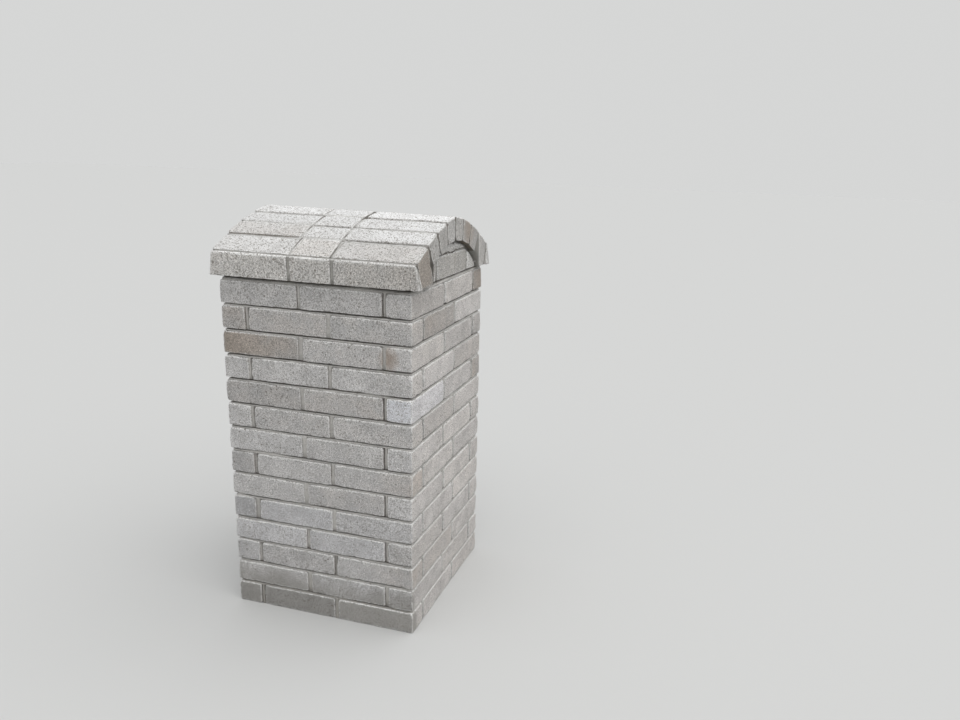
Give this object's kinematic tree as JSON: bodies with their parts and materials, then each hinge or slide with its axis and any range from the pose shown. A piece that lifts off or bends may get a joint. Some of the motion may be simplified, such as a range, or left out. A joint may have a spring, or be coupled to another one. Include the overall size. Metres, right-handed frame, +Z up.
{
  "type": "free-standing brick pier",
  "caption": "Square free-standing garden pier of pale long bricks in pinwheel courses, under an overhanging barrel-arch brick cap with recessed infill at both ends.",
  "frame": {"origin": "centre of the base, on the ground", "axes": "+Z up, X along the barrel of the cap, so that the arched ends face +X and -X, and -Y is the front"},
  "size_m": [0.638, 0.608, 1.2121],
  "materials": {
    "shaft_brick": "pale grey-cream fired clay, sanded face with fine dark specks and pits",
    "cap_brick": "pale grey-cream fired clay, weathered and coarsely speckled on top",
    "infill_brick": "pale grey fired clay, sheltered and streaked",
    "mortar": "pale sanded lime-cement mortar, lightly raked"
  },
  "bodies": {
    "root": {"course_01": "shaft_brick", "course_02": "shaft_brick", "course_03": "shaft_brick", "course_04": "shaft_brick", "course_05": "shaft_brick", "course_06": "shaft_brick", "course_07": "shaft_brick", "course_08": "shaft_brick", "course_09": "shaft_brick", "course_10": "shaft_brick", "course_11": "shaft_brick", "course_12": "shaft_brick", "course_13": "shaft_brick", "course_14": "shaft_brick", "mortar_core": "mortar", "cap_bed_mortar": "mortar", "front_edge_row": "cap_brick", "front_springer": "cap_brick", "front_crown_row": "cap_brick", "front_upper_row": "cap_brick", "front_haunch_row": "cap_brick", "rear_edge_row": "cap_brick", "rear_springer": "cap_brick", "rear_crown_row": "cap_brick", "rear_upper_row": "cap_brick", "rear_haunch_row": "cap_brick", "arch_mortar": "mortar", "arch_fill": "mortar", "right_infill_brick": "infill_brick", "right_infill_cuts": "infill_brick", "right_infill_sliver": "infill_brick", "left_infill_brick": "infill_brick", "left_infill_cuts": "infill_brick", "left_infill_sliver": "infill_brick"}
  },
  "joints": []
}
